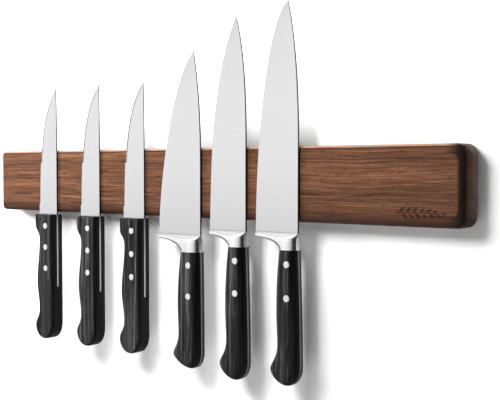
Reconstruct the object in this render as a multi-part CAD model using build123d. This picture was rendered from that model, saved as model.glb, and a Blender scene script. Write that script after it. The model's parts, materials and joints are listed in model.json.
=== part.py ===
"""A wooden wall strip with hidden magnets, holding three steak knives and three forged knives.

Millimetres. X runs along the strip, Z is up and +Y points into the wall, so y = 0 is the wall and
everything stands in front of it, at negative y. The origin is the middle of the strip's back face.
Every knife hangs point up against the strip, with its cutting edge to the left and its spine to
the right. Knife outlines are drawn with x = 0 on the spine line, so x is negative at the edge.
"""

import os

from build123d import *

os.makedirs("parts", exist_ok=True)

# ---- Wooden strip
strip_length = 528.0
strip_height = 62.0
strip_depth = 20.0
left_corner_radius = 5.0
right_corner_radius = 10.0
front_edge_radius = 4.0

# ---- Channel routed into the back of the strip, and what it holds
front_skin = 3.0
channel_end = 44.0
channel_height = 30.0
channel_corner_radius = 4.0
fit_clearance = 0.5
magnet_count = 10
magnet_width = 26.0
magnet_thickness = 7.0
magnet_gap = 3.0
keeper_thickness = 3.0
cover_thickness = 3.0
cover_ledge = 8.0
cover_clearance = 0.25

# ---- Countersunk wood screws
screw_shank = 2.5
screw_head = 5.4
screw_head_depth = 1.4
screw_slot = 0.8
cover_screw_length = 11.0
cover_screw_columns = 4
cover_screw_inset = 12.0
plate_screw_length = 10.0
shank_clearance = 0.05

# ---- Keyhole hanger plates
hanger_inset = 19.0
plate_width = 16.0
plate_height = 48.0
plate_thickness = 1.6
plate_screw_spacing = 37.0
keyhole_entry = 9.0
keyhole_slot = 4.6
keyhole_rise = 9.0
keyhole_entry_z = -5.0
head_pocket_width = 11.0
head_pocket_depth = 6.5
head_pocket_margin = 1.5

# ---- What all knives share
blade_gap = 0.3
rivet_head = 6.2
rivet_head_depth = 1.2
rivet_tube = 4.4
rivet_pin = 3.0
rivet_clearance = 0.03
rivet_proud = 0.2

# ---- The row of knives: the free width to the left of each one's cutting edge
free_widths = {
    "steak_knife_left": 63.8, "steak_knife_middle": 34.8, "steak_knife_right": 32.1,
    "cook_knife": 18.5, "slicing_knife": 10.1, "carving_knife": 10.1,
}

# ---- Steak knives: the sizes that the three share
steak_grip_drop = 2.7
steak_blade_length = 127.0
steak_blade_width = 26.0
steak_heel_step = 1.2
steak_heel_height = 12.0
steak_blade_thickness = 1.8
steak_edge_thickness = 0.4
steak_tip_thickness = 0.9
steak_tip_drop = 0.8
steak_tang_width = 16.0
steak_tang_length = 73.0
steak_slot_clearance = 0.1
steak_grip_length = 126.8
steak_grip_thickness = 14.5
steak_grip_round = 3.2
steak_front_width = 26.4
steak_neck_width = 20.6
steak_palm_width = 24.4
steak_waist_width = 21.3
steak_beak_width = 27.2
steak_butt_radius = 9.0
steak_rivet_from_top = 11.6
steak_rivet_spacing = 21.5
steak_rivet_inset = 10.4
scallop_pitch = 2.3
scallop_depth = 0.45
scallop_count = 34
scallop_start = 41.0

# ---- Forged knives: one row of sizes each, then the sizes that the three share
forged_knives = {
    "cook_knife": {
        "heel_drop": 16.0, "blade_length": 163.0, "blade_width": 50.0, "tip_drop": 8.0,
        "edge_curve": ((49.0, 41.0), (36.0, 138.0)), "spine_curve": ((0.0, 92.0), (1.8, 134.0)),
        "straight_spine": 62.0, "bolster": 14.2, "grip_length": 103.4, "neck": 18.4, "palm": 22.2,
        "waist": 21.4, "beak": 27.6, "swell": 0.9, "rivet_inset": 8.8,
    },
    "slicing_knife": {
        "heel_drop": 10.4, "blade_length": 183.4, "blade_width": 40.0, "tip_drop": 10.8,
        "edge_curve": ((37.5, 54.0), (40.0, 127.0)), "spine_curve": ((0.2, 110.0), (1.4, 155.0)),
        "straight_spine": 80.0, "bolster": 12.5, "grip_length": 113.6, "neck": 14.8, "palm": 18.3,
        "waist": 17.2, "beak": 24.4, "swell": 2.3, "rivet_inset": 6.6,
    },
    "carving_knife": {
        "heel_drop": 9.7, "blade_length": 190.1, "blade_width": 43.0, "tip_drop": 10.5,
        "edge_curve": ((43.0, 58.0), (34.5, 172.0)), "spine_curve": ((0.0, 107.0), (2.2, 159.0)),
        "straight_spine": 76.0, "bolster": 12.9, "grip_length": 111.2, "neck": 14.8, "palm": 17.9,
        "waist": 16.9, "beak": 23.8, "swell": 2.4, "rivet_inset": 6.8,
    },
}
forged_blade_thickness = 2.4
forged_edge_thickness = 0.5
forged_tip_thickness = 0.9
forged_grip_thickness = 15.5
forged_grip_round = 3.6
bolster_heel_height = 3.4
bolster_heel_thickness = 3.4
bolster_step = 0.3
bolster_corner = 1.6
forged_rivet_from_top = 11.5
forged_rivet_spacing = 27.6
grip_butt_width = 8.5

# ---- Values that follow from the sizes above
strip_bottom = -strip_height / 2
steak_grip_top = strip_bottom - steak_grip_drop
hanger_spacing = strip_length - 2 * hanger_inset
channel_length = strip_length - 2 * channel_end
channel_depth = strip_depth - front_skin
pressure_pad_thickness = channel_depth - magnet_thickness - keeper_thickness - cover_thickness
cover_length = channel_length + 2 * cover_ledge
cover_height = channel_height + 2 * cover_ledge
magnet_row = channel_length - 2 * fit_clearance
magnet_length = (magnet_row - (magnet_count - 1) * magnet_gap) / magnet_count


def wall_plane(depth):
    """A drawing plane parallel to the wall and `depth` in front of it, with y drawn upwards."""
    return Plane.XZ.offset(depth)


def slab(sketch, near, thickness):
    """The sketch as a plate that starts `near` in front of the wall and grows outwards."""
    return extrude(wall_plane(near) * sketch, thickness)


def centred_slab(sketch, middle, thickness):
    """The sketch as a plate of the given thickness about a plane `middle` in front of the wall."""
    return slab(sketch, middle - thickness / 2, thickness)


def rod(x, z, diameter, near, length):
    """A round bar that points away from the wall."""
    return slab(Pos(x, z) * Circle(diameter / 2), near, length)


def closed_face(*edges):
    """The face inside a ring of edges."""
    return make_face(Wire(list(edges)))


def save(node, shape):
    """Write one node's solids as parts/NODE.step."""
    solids = shape.solids()
    whole = solids[0] if len(solids) == 1 else Compound(children=list(solids))
    export_step(whole, f"parts/{node}.step")


# ---- The strip and its insides
def countersunk_screw(x, z, near, length):
    """A slotted countersunk screw whose flat head is level with `near`, pointing outwards."""
    head = extrude(wall_plane(near) * Pos(x, z) * Circle(screw_head / 2), screw_head_depth,
                   taper=45)
    shank = rod(x, z, screw_shank, near, length)
    slot = slab(Pos(x, z) * Rectangle(screw_head, screw_slot), near, screw_head_depth / 2)
    return head + shank - slot


def screw_hole(x, z, near, length):
    """Room for a countersunk screw: its head's cone and its shank, with clearance all round."""
    size = screw_head / 2 + shank_clearance
    head = extrude(wall_plane(near) * Pos(x, z) * Circle(size), screw_head_depth, taper=45)
    shank = rod(x, z, screw_shank + 2 * shank_clearance, near, length + 1.0)
    return head + shank


def cover_screw_places():
    """Two rows of screws along the ledges above and below the channel."""
    half = cover_length / 2 - cover_screw_inset
    row = channel_height / 2 + cover_ledge / 2
    step = 2 * half / (cover_screw_columns - 1)
    return [(-half + i * step, z) for i in range(cover_screw_columns) for z in (-row, row)]


def hanger_places():
    """The middle of each keyhole plate, by name."""
    return {"left": -hanger_spacing / 2, "right": hanger_spacing / 2}


def plate_screw_places(x):
    """The two screws of the keyhole plate at x."""
    return [(x, z) for z in (-plate_screw_spacing / 2, plate_screw_spacing / 2)]


def keyhole(margin, entry, slot):
    """A keyhole: a round entry below a slot that rises from it, grown by a margin."""
    top = keyhole_entry_z + keyhole_rise
    shape = Pos(0, keyhole_entry_z) * Circle(entry / 2 + margin)
    shape += Pos(0, (keyhole_entry_z + top) / 2) * Rectangle(slot + 2 * margin, keyhole_rise)
    return shape + Pos(0, top) * Circle(slot / 2 + margin)


def strip_outline():
    """The strip's front view, with larger corners at the right end."""
    outline = Rectangle(strip_length, strip_height)
    corners = outline.vertices().sort_by(Axis.X)
    outline = fillet(corners[:2], left_corner_radius)
    corners = outline.vertices().sort_by(Axis.X)[-2:]
    return fillet(corners, right_corner_radius)


def wood_bar():
    """The strip: rounded at the front, routed from the back for everything it hides."""
    bar = slab(strip_outline(), 0, strip_depth)
    front = bar.faces().sort_by(Axis.Y)[0]
    bar = fillet(front.edges(), front_edge_radius)
    channel = RectangleRounded(channel_length, channel_height, channel_corner_radius)
    bar -= slab(channel, 0, channel_depth)
    bar -= slab(RectangleRounded(cover_length, cover_height, channel_corner_radius), 0,
                cover_thickness)
    for x, z in cover_screw_places():
        bar -= rod(x, z, screw_shank + 2 * shank_clearance, cover_thickness,
                   cover_screw_length - cover_thickness + 1.0)
    for x in hanger_places().values():
        recess = RectangleRounded(plate_width + 2 * cover_clearance,
                                  plate_height + 2 * cover_clearance, channel_corner_radius)
        bar -= slab(Pos(x, 0) * recess, 0, plate_thickness)
        pocket_height = keyhole_rise + keyhole_entry + 2 * head_pocket_margin
        pocket_z = keyhole_entry_z + keyhole_rise / 2
        pocket = RectangleRounded(head_pocket_width, pocket_height, channel_corner_radius)
        bar -= slab(Pos(x, pocket_z) * pocket, plate_thickness, head_pocket_depth)
        for sx, sz in plate_screw_places(x):
            bar -= rod(sx, sz, screw_shank + 2 * shank_clearance, plate_thickness,
                       plate_screw_length - plate_thickness + 1.0)
    return bar


def magnets():
    """A row of bar magnets behind the front skin."""
    near = strip_depth - front_skin - magnet_thickness
    first = -magnet_row / 2 + magnet_length / 2
    block = RectangleRounded(magnet_length, magnet_width, 1.0)
    row = [slab(Pos(first + i * (magnet_length + magnet_gap), 0) * block, near, magnet_thickness)
           for i in range(magnet_count)]
    return Compound(children=row)


def channel_plate(near, thickness):
    """A flat strip that fills the channel's outline with clearance."""
    outline = RectangleRounded(channel_length - 2 * fit_clearance,
                               channel_height - 2 * fit_clearance,
                               channel_corner_radius - fit_clearance)
    return slab(outline, near, thickness)


def back_cover():
    """The board that closes the channel, level with the strip's back face."""
    outline = RectangleRounded(cover_length - 2 * cover_clearance,
                               cover_height - 2 * cover_clearance,
                               channel_corner_radius - cover_clearance)
    cover = slab(outline, 0, cover_thickness)
    for x, z in cover_screw_places():
        cover -= screw_hole(x, z, 0, cover_thickness)
    return cover


def hanger_plate(x):
    """A steel keyhole plate let into the back of the strip."""
    plate = slab(Pos(x, 0) * RectangleRounded(plate_width, plate_height,
                                              channel_corner_radius - cover_clearance),
                 0, plate_thickness)
    plate -= slab(Pos(x, 0) * keyhole(0, keyhole_entry, keyhole_slot), 0, plate_thickness)
    for sx, sz in plate_screw_places(x):
        plate -= screw_hole(sx, sz, 0, plate_thickness)
    return plate


# ---- Rivets: a pin with a head, pressed from the front into a tube with a head
def rivet_hole(x, z, middle, grip_thickness):
    """Room for one rivet through a handle, with a seat for its head on both sides."""
    clear = 2 * rivet_clearance
    hole = centred_slab(Pos(x, z) * Circle((rivet_tube + clear) / 2), middle, grip_thickness + 2)
    for side in (-1, 1):
        seat_middle = middle + side * (grip_thickness / 2 - rivet_head_depth / 2 + 0.5)
        hole += centred_slab(Pos(x, z) * Circle((rivet_head + clear) / 2), seat_middle,
                             rivet_head_depth + 1.0)
    return hole


def rivet_stud(x, z, middle, grip_thickness):
    """The front half: a low domed head on a pin."""
    front = middle + grip_thickness / 2
    head = rod(x, z, rivet_head, front - rivet_head_depth, rivet_head_depth + rivet_proud)
    rim = head.faces().sort_by(Axis.Y)[0].edges()
    head = chamfer(rim, rivet_proud, 3 * rivet_proud)
    back = middle - grip_thickness / 2 + rivet_head_depth
    return head + rod(x, z, rivet_pin, back, grip_thickness - 2 * rivet_head_depth)


def rivet_socket(x, z, middle, grip_thickness):
    """The back half: a low domed head on a tube that takes the pin."""
    back = middle - grip_thickness / 2
    head = rod(x, z, rivet_head, back - rivet_proud, rivet_head_depth + rivet_proud)
    rim = head.faces().sort_by(Axis.Y)[-1].edges()
    head = chamfer(rim, rivet_proud, 3 * rivet_proud)
    length = grip_thickness - 2 * rivet_head_depth
    tube = rod(x, z, rivet_tube, back + rivet_head_depth, length - rivet_clearance)
    tube -= rod(x, z, rivet_pin + 2 * rivet_clearance, back + rivet_head_depth, length)
    return head + tube


def save_rivets(knife, places, middle, grip_thickness):
    """The studs and the sockets of one knife, each as a group of separate solids."""
    for node, make in (("rivet_studs", rivet_stud), ("rivet_sockets", rivet_socket)):
        group = [make(x, z, middle, grip_thickness) for x, z in places]
        save(f"{knife}_{node}", Compound(children=group))


def taper_across(width, spine_thickness, edge_thickness, bottom, top, middle):
    """A wedge that is full at the spine and thin at the cutting edge, as tall as the blade."""
    half, thin, over = spine_thickness / 2, edge_thickness / 2, 3.0
    slope = (half - thin) / width
    far = thin - slope * over
    outline = Polyline((over, half), (0, half), (-width - over, far), (-width - over, -far),
                       (0, -half), (over, -half), close=True)
    section = Plane(origin=(0, -middle, bottom), x_dir=(1, 0, 0), z_dir=(0, 0, 1))
    return extrude(section * make_face(outline), top - bottom)


def taper_along(width, root_thickness, tip_thickness, bottom, top, middle):
    """A wedge that thins from the heel at `bottom` to the point at `top`."""
    root, tip = root_thickness / 2, tip_thickness / 2
    outline = Polyline((root, bottom), (tip, top), (-tip, top), (-root, bottom), close=True)
    section = Plane(origin=(-width - 5.0, -middle, 0), x_dir=(0, 1, 0), z_dir=(1, 0, 0))
    return extrude(section * make_face(outline), width + 10.0)


# ---- Steak knives
def steak_edge_curve():
    """The cutting edge, from above the heel step to the point."""
    tip = (-steak_tip_drop, steak_blade_length)
    return Bezier((-steak_blade_width, steak_heel_height),
                  (-steak_blade_width * 0.98, steak_blade_length * 0.58),
                  (-steak_blade_width * 0.78, steak_blade_length * 0.84), tip)


def steak_blade_outline():
    """The blade seen from the front, standing on the grip's top face at y = 0."""
    heel = steak_blade_width + steak_heel_step
    edge = steak_edge_curve()
    step = Polyline((0, 0), (-heel, 0), (-heel, steak_heel_height - 2 * steak_heel_step),
                    edge @ 0)
    spine = Bezier(edge @ 1, (-steak_tip_drop * 0.1, steak_blade_length * 0.9),
                   (0, steak_blade_length * 0.8), (0, 0))
    return make_face([*step.edges(), *edge.edges(), *spine.edges()])


def scallops():
    """Round bites along the cutting edge, measured from above the heel step."""
    edge = steak_edge_curve()
    radius = (scallop_pitch / 2) ** 2 / (2 * scallop_depth) + scallop_depth / 2
    bites = []
    for i in range(scallop_count):
        place = (scallop_start + i * scallop_pitch) / edge.length
        outward = edge.tangent_at(place).rotate(Axis.Z, 90)
        centre = edge.position_at(place) + outward * (radius - scallop_depth)
        bites.append(Pos(centre.X, centre.Y) * Circle(radius))
    return bites


def steak_blade(spine_x, middle):
    """The stamped blade with its short tang, tapered across and along."""
    outline = steak_blade_outline() - scallops()
    width = steak_blade_width + steak_heel_step
    blade = centred_slab(outline, middle, steak_blade_thickness)
    blade &= taper_across(width, steak_blade_thickness, steak_edge_thickness, 0,
                          steak_blade_length, middle)
    blade &= taper_along(width, steak_blade_thickness, steak_tip_thickness, 0,
                         steak_blade_length, middle)
    tang = Pos(-steak_tang_width / 2, -steak_tang_length / 2) * Rectangle(
        steak_tang_width, steak_tang_length)
    low_corner = tang.vertices().sort_by(Axis.Y)[:2].sort_by(Axis.X)[0]
    tang = fillet(low_corner, steak_tang_width / 2)
    blade += centred_slab(tang, middle, steak_blade_thickness)
    for x, z in steak_rivet_places(0, 0):
        blade -= rivet_hole(x, z, middle, steak_grip_thickness)
    return Pos(spine_x, 0, steak_grip_top) * blade


def steak_rivet_places(spine_x, grip_top):
    """Three rivets down the grip."""
    return [(spine_x - steak_rivet_inset,
             grip_top - steak_rivet_from_top - i * steak_rivet_spacing) for i in range(3)]


def steak_grip_outline():
    """The grip seen from the front: a straight back, a finger swell and a beak at the butt."""
    length = steak_grip_length
    front = steak_front_width
    beak = (-steak_beak_width, -0.895 * length)
    bottom = (-steak_beak_width * 0.52, -length)
    throat = (-front, -0.085 * length)
    neck = (-steak_neck_width, -0.205 * length)
    palm = (-steak_palm_width, -0.54 * length)
    waist = (-steak_waist_width, -0.755 * length)
    top = Polyline((0, -steak_butt_radius), (0, 0), (-front, 0), throat)
    dip = Bezier(throat, (-front, -0.14 * length), (-steak_neck_width, -0.13 * length), neck)
    swell = Spline(neck, palm, waist, tangents=[(0, -1), (0, -1)])
    hook = Bezier(waist, (-steak_waist_width, -0.83 * length),
                  (-steak_beak_width, -0.845 * length), beak)
    butt = Bezier(beak, (-steak_beak_width, -0.93 * length),
                  (-steak_beak_width * 0.75, -length), bottom)
    corner = (0, -length + steak_butt_radius)
    turn = Bezier(bottom, (-steak_butt_radius * 0.45, -length), (0, -length + 1.5), corner)
    back = Line(corner, (0, -steak_butt_radius))
    pieces = (top, dip, swell, hook, butt, turn, back)
    return make_face([edge for piece in pieces for edge in piece.edges()])


def steak_grip(spine_x, middle):
    """The one-piece grip: rounded all round, slotted from its back for the tang."""
    grip = centred_slab(steak_grip_outline(), middle, steak_grip_thickness)
    rims = grip.faces().sort_by(Axis.Y)
    grip = fillet(rims[0].edges() + rims[-1].edges(), steak_grip_round)
    slot_length = steak_tang_length + steak_slot_clearance
    slot_width = steak_tang_width + steak_slot_clearance
    slot = Pos(-slot_width / 2 + 1, -slot_length / 2 + 1) * Rectangle(slot_width + 2,
                                                                      slot_length + 2)
    grip -= centred_slab(slot, middle, steak_blade_thickness + 2 * steak_slot_clearance)
    for x, z in steak_rivet_places(0, 0):
        grip -= rivet_hole(x, z, middle, steak_grip_thickness)
    return Pos(spine_x, 0, steak_grip_top) * grip


def save_steak_knife(knife, spine_x):
    """Blade, grip and rivets of one steak knife."""
    middle = strip_depth + blade_gap + steak_blade_thickness / 2
    save(f"{knife}_blade", steak_blade(spine_x, middle))
    save(f"{knife}_grip", steak_grip(spine_x, middle))
    places = steak_rivet_places(spine_x, steak_grip_top)
    save_rivets(knife, places, middle, steak_grip_thickness)


# ---- Forged knives
def forged_blade_outline(size):
    """The blade seen from the front, standing on its heel line at y = 0."""
    (edge_low, edge_high), (back_low, back_high) = size["edge_curve"], size["spine_curve"]
    tip = (-size["tip_drop"], size["blade_length"])
    edge = Bezier((-size["blade_width"], 0), (-edge_low[0], edge_low[1]),
                  (-edge_high[0], edge_high[1]), tip)
    spine = Bezier(tip, (-back_high[0], back_high[1]), (-back_low[0], back_low[1]),
                   (0, size["straight_spine"]))
    base = Polyline((0, size["straight_spine"]), (0, 0), (-size["blade_width"], 0))
    return make_face([*edge.edges(), *spine.edges(), *base.edges()])


def forged_blade(size, middle):
    """The blade, ground thin towards its edge and its point."""
    length, width = size["blade_length"], size["blade_width"]
    blade = centred_slab(forged_blade_outline(size), middle, forged_blade_thickness)
    blade &= taper_across(width, forged_blade_thickness, forged_edge_thickness, 0, length, middle)
    return blade & taper_along(width, forged_blade_thickness, forged_tip_thickness, 0, length,
                               middle)


def bolster_outline(size):
    """The bolster seen from the front: a strip under the heel that sweeps down to the grip."""
    width, neck, height = size["blade_width"], size["neck"], size["bolster"]
    heel = (-width, -bolster_heel_height)
    under = (-neck, -height)
    sweep = Bezier(heel, (-width + 0.45 * (width - neck), -bolster_heel_height - 0.6),
                   (-neck - 1.0, -height * 0.55), under)
    frame = Polyline(under, (0, -height), (0, 0), (-width, 0), heel)
    face = make_face([*sweep.edges(), *frame.edges()])
    corner = face.vertices().sort_by_distance((-width, -bolster_heel_height, 0))[0]
    return fillet(corner, bolster_corner)


def bolster(size, middle):
    """The bolster, thin at the heel and as thick as the grip where it meets it."""
    width, neck, height = size["blade_width"], size["neck"], size["bolster"]
    body = centred_slab(bolster_outline(size), middle, forged_grip_thickness)
    full, thin = forged_grip_thickness / 2, bolster_heel_thickness / 2
    plan = Polyline((0, full), (-neck, full), (-width - 1, thin), (-width - 1, -thin),
                    (-neck, -full), (0, -full), close=True)
    plan = make_face(plan)
    plan = fillet(plan.vertices().sort_by(Axis.X)[-2:], forged_grip_round)
    section = Plane(origin=(0, -middle, -height - 1), x_dir=(1, 0, 0), z_dir=(0, 0, 1))
    body &= extrude(section * plan, height + 2)
    start = forged_blade_thickness / 2 + bolster_step
    side = [(start, 0.0), (start + 0.6, -bolster_heel_height), (full, -0.8 * height)]
    right = Spline(*side, tangents=[(0, -1), (1, -2)])
    left = mirror(right, Plane.YZ)
    ends = [Line(side[0], (-side[0][0], 0)), Line(side[2], (full, -height)),
            Line((full, -height), (-full, -height)), Line((-full, -height), (-full, side[2][1]))]
    profile = make_face([*right.edges(), *left.edges(), *[e for line in ends for e in line.edges()]])
    flank = Plane(origin=(-width - 2, -middle, 0), x_dir=(0, 1, 0), z_dir=(1, 0, 0))
    return body & extrude(flank * profile, width + 4)


def forged_grip_outline(size):
    """The grip seen from the front, hanging from its top face at y = 0."""
    length, swell = size["grip_length"], size["swell"]
    beak = (-size["beak"], -0.885 * length)
    bottom = (-grip_butt_width, -length)
    waist = (-size["waist"], -0.7 * length)
    side = Spline((-size["neck"], 0), (-size["palm"], -0.46 * length), waist,
                  tangents=[(-0.16, -1), (0, -1)])
    hook = Bezier(waist, (-size["waist"], -0.8 * length),
                  (-size["beak"], -0.835 * length), beak)
    butt = Bezier(beak, (-size["beak"], -0.93 * length),
                  (-grip_butt_width - 8.0, -length), bottom)
    hip = (swell, -0.86 * length)
    turn = Bezier(bottom, (-grip_butt_width + 5.5, -length), (swell, -0.945 * length), hip)
    back = Bezier(hip, (swell, -0.6 * length), (0.35 * swell, -0.2 * length), (0, 0))
    top = Line((0, 0), (-size["neck"], 0))
    pieces = (side, hook, butt, turn, back, top)
    return make_face([edge for piece in pieces for edge in piece.edges()])


def round_rim(outer_face):
    """Round a scale's outer rim, apart from its top edge, which meets the bolster."""
    rim = outer_face.edges().sort_by(Axis.Z)[:-1]
    return fillet(rim, forged_grip_round)


def forged_rivet_places(size, spine_x, grip_top):
    """Two rivets down the grip."""
    return [(spine_x - size["rivet_inset"],
             grip_top - forged_rivet_from_top - i * forged_rivet_spacing) for i in range(2)]


def save_forged_knife(knife, size, spine_x):
    """The forging, both grip scales and the rivets of one forged knife."""
    middle = strip_depth + blade_gap + forged_blade_thickness / 2
    heel = strip_bottom - size["heel_drop"]
    grip_top = heel - size["bolster"]
    scale_thickness = (forged_grip_thickness - forged_blade_thickness) / 2
    outline = forged_grip_outline(size)
    places = forged_rivet_places(size, spine_x, grip_top)
    holes = [rivet_hole(x, z, middle, forged_grip_thickness) for x, z in places]

    forging = forged_blade(size, middle) + bolster(size, middle)
    tang = centred_slab(outline, middle, forged_blade_thickness)
    forging = Pos(spine_x, 0, heel) * (forging + Pos(0, 0, -size["bolster"]) * tang)
    save(f"{knife}_blade", forging - holes)

    at_grip = Pos(spine_x, 0, grip_top)
    front = slab(outline, middle + forged_blade_thickness / 2, scale_thickness)
    front = round_rim(front.faces().sort_by(Axis.Y)[0])
    save(f"{knife}_front_scale", at_grip * front - holes)
    back = slab(outline, middle - forged_grip_thickness / 2, scale_thickness)
    back = round_rim(back.faces().sort_by(Axis.Y)[-1])
    save(f"{knife}_back_scale", at_grip * back - holes)
    save_rivets(knife, places, middle, forged_grip_thickness)


def spine_lines():
    """Where each knife's spine line stands, counted along the row from the strip's left end."""
    place = -strip_length / 2
    lines = {}
    for knife, free_width in free_widths.items():
        forged = forged_knives.get(knife)
        width = forged["blade_width"] if forged else steak_blade_width + steak_heel_step
        place += free_width + width
        lines[knife] = place
    return lines


# ---- Everything, one file per node
save("wood_bar", wood_bar())
save("magnets", magnets())
save("keeper_plate", channel_plate(cover_thickness + pressure_pad_thickness, keeper_thickness))
save("pressure_pad", channel_plate(cover_thickness, pressure_pad_thickness))
save("back_cover", back_cover())
save("cover_screws", Compound(children=[countersunk_screw(x, z, 0, cover_screw_length)
                                        for x, z in cover_screw_places()]))
for side, x in hanger_places().items():
    save(f"hanger_plate_{side}", hanger_plate(x))
    save(f"hanger_screws_{side}", Compound(children=[
        countersunk_screw(sx, sz, 0, plate_screw_length) for sx, sz in plate_screw_places(x)]))
for knife, spine_x in spine_lines().items():
    if knife in forged_knives:
        save_forged_knife(knife, forged_knives[knife], spine_x)
    else:
        save_steak_knife(knife, spine_x)
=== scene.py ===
"""How the wall strip and its six knives look: walnut, ground steel, forged bolsters, black wood grips.

The scene is in metres: X runs along the strip, Z is up and the wall stands at y = 0, behind everything.
Knife shapes are worked out in millimetres from a knife's own point: x = 0 on its spine line, so x is
negative towards its cutting edge, y = 0 on its middle plane, and z = 0 at its heel or its grip's top.
"""

import json
import math

import bmesh
import bpy
import numpy as np
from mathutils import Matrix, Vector

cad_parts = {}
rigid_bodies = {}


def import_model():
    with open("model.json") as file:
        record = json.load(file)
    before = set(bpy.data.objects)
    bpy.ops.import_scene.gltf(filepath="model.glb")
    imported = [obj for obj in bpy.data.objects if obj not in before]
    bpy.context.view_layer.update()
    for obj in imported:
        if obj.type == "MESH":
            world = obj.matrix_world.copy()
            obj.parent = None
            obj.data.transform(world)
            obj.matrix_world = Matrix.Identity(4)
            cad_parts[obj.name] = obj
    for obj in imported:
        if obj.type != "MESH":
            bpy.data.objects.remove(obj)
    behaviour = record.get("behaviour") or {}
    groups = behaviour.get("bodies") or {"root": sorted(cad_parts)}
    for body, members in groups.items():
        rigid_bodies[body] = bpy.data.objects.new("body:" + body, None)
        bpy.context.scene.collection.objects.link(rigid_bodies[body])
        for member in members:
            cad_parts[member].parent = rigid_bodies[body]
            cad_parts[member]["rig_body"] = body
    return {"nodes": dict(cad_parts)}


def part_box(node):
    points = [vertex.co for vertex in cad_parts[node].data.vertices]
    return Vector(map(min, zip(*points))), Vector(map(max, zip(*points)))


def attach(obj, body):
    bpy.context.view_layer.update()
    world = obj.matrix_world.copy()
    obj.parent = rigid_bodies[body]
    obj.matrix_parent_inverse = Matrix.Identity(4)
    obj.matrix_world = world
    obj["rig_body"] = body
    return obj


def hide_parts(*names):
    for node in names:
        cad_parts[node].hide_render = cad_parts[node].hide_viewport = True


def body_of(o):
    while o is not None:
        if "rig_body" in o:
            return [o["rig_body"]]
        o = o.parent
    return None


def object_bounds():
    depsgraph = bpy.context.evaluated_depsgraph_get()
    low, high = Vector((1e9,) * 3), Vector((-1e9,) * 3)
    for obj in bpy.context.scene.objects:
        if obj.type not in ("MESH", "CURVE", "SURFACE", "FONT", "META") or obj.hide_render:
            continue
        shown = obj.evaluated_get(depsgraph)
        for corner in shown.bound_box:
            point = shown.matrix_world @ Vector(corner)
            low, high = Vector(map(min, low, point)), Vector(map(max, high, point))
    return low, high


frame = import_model()
cad_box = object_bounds()

MM = 0.001
bar_depth = -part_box("wood_bar")[0].y
bar_half_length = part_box("wood_bar")[1].x
bar_half_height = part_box("wood_bar")[1].z

# ---- Camera and room
camera_azimuth = 37.0
camera_elevation = 2.03
camera_distance = 0.7392
camera_aim = Vector((0.0697, -0.0200, -0.0139))
camera_lens = 63.07
camera_sensor = 36.0
wall_gap = 0.0004
wall_size = (3.0, 2.2)
floor_drop = 0.34
panel_azimuth = 38.0

# ---- The bar, in millimetres
bar_corners = (5.0, 10.0)
bar_rim_round = 4.0
bar_end_round = 8.5
bar_back_round = 4.5
painted_end_shade_corner = 14.0
channel_clearance = 0.5
cover_clearance = 0.25
recess_corner = 4.0
recess_mouth = -1.0
keyhole_pocket = (11.0, 21.0)
keyhole_pocket_depth = 6.5
keyhole_pocket_z = -0.5
ornament_middle = (223.5, -20.5)
ornament_length = 36.0
ornament_reach = (26.0, 8.0)
ornament_floor = 19.55
ornament_top = 21.0
leaf_pairs = 6
leaf_spacing = 5.6

# ---- Knives: what they share, in millimetres
sharp_half = 0.03
forged_bevel = 1.0
forged_edge_half = 0.25
blade_spine_round = 1.7
blade_spine_drop = 0.34
heel_groove_depth = 0.22
heel_groove_height = 0.55
heel_groove_spread = 0.30
tang_half = 1.2
seam_round = 0.15
forged_grip_half = 7.75
forged_spine_round = 6.3
forged_edge_round = 2.8
forged_painted_shade_spread = 8.5
forged_grip_columns = 46
bolster_heel_height = 3.4
bolster_heel_half = 1.7
bolster_corner = 1.6
bolster_top_half = 1.5
bolster_top_round = 0.35
bolster_swell_height = 5.0
bolster_back_share = 0.80
bolster_spread = 2.0
grip_butt_width = 8.5

steak_blade_length = (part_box("steak_knife_left_blade")[1].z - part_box("steak_knife_left_grip")[1].z) / MM
steak_grip_length = (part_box("steak_knife_left_grip")[1].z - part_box("steak_knife_left_grip")[0].z) / MM
steak_blade_width = 26.0
steak_heel_step = 1.2
steak_heel_height = 12.0
steak_blade_half = 0.9
steak_edge_half = 0.42
steak_bevel = 1.9
steak_back_round = 1.1
steak_back_drop = 0.24
steak_tip_drop = 0.8
steak_tang_width = 16.0
steak_tang_length = 73.0
steak_slot_half = 1.0
steak_slot_depth = 16.1
steak_slot_clearance = 0.1
steak_grip_half = 7.25
steak_spine_round = 2.4
steak_edge_round = 2.2
steak_painted_shade_spread = 5.0
steak_grip_columns = 44
steak_top_round = 1.5
steak_front_width = 26.4
steak_neck_width = 20.6
steak_palm_width = 24.4
steak_waist_width = 21.3
steak_beak_width = 27.2
steak_butt_radius = 18.0
scallop_pitch = 2.3
scallop_depth = 0.55
scallop_count = 34
scallop_start = 41.0

rivet_head = 2.8
rivet_head_depth = 1.2
rivet_proud = 0.3
rivet_gap = 0.6
rivet_pin = 1.5
rivet_tube = 2.2

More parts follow.
